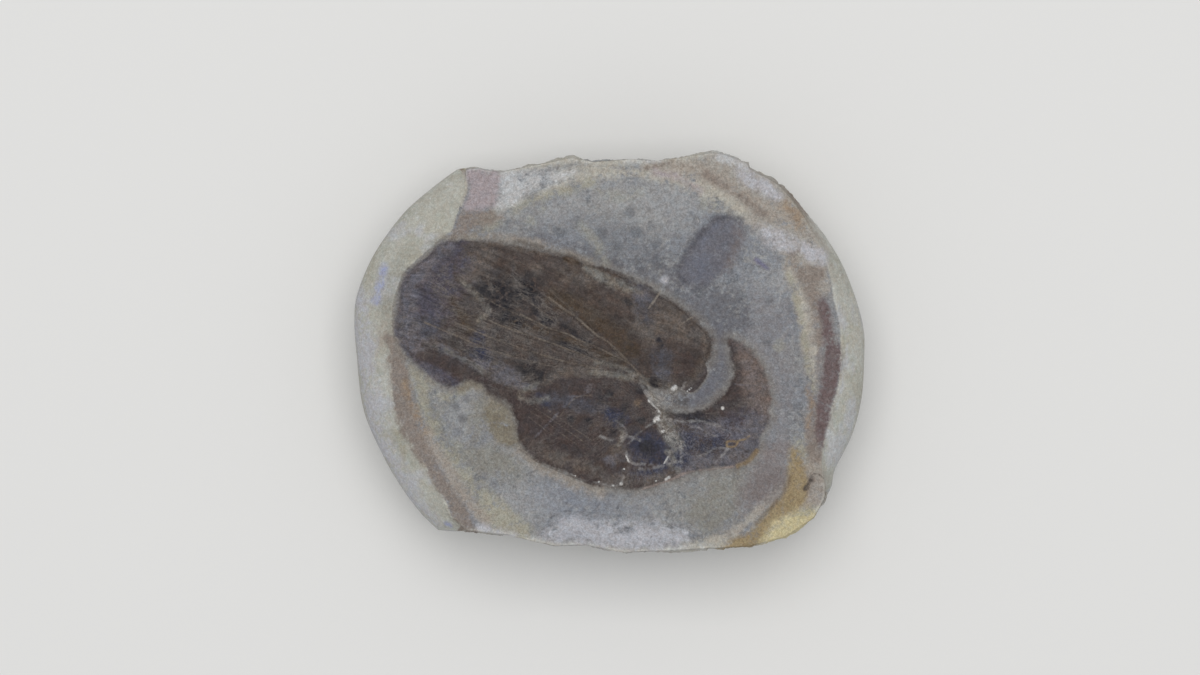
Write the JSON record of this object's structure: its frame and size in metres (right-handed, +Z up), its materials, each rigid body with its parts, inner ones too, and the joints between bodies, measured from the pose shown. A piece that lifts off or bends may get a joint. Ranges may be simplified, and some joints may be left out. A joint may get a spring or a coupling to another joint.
{
  "type": "fossil insect nodule",
  "caption": "Half of a split rounded ironstone nodule, lying with its flat split face up, with the wings of a roach-like fossil insect in low relief on it.",
  "frame": {"origin": "middle of the stone's outline, on the surface that it rests on", "axes": "+X along the stone's long side, +Y towards its far broken end, +Z up out of the split face"},
  "size_m": [0.072, 0.057, 0.0189],
  "materials": {
    "stone": "matte"
  },
  "bodies": {
    "root": {"nodule": "stone"}
  },
  "joints": []
}
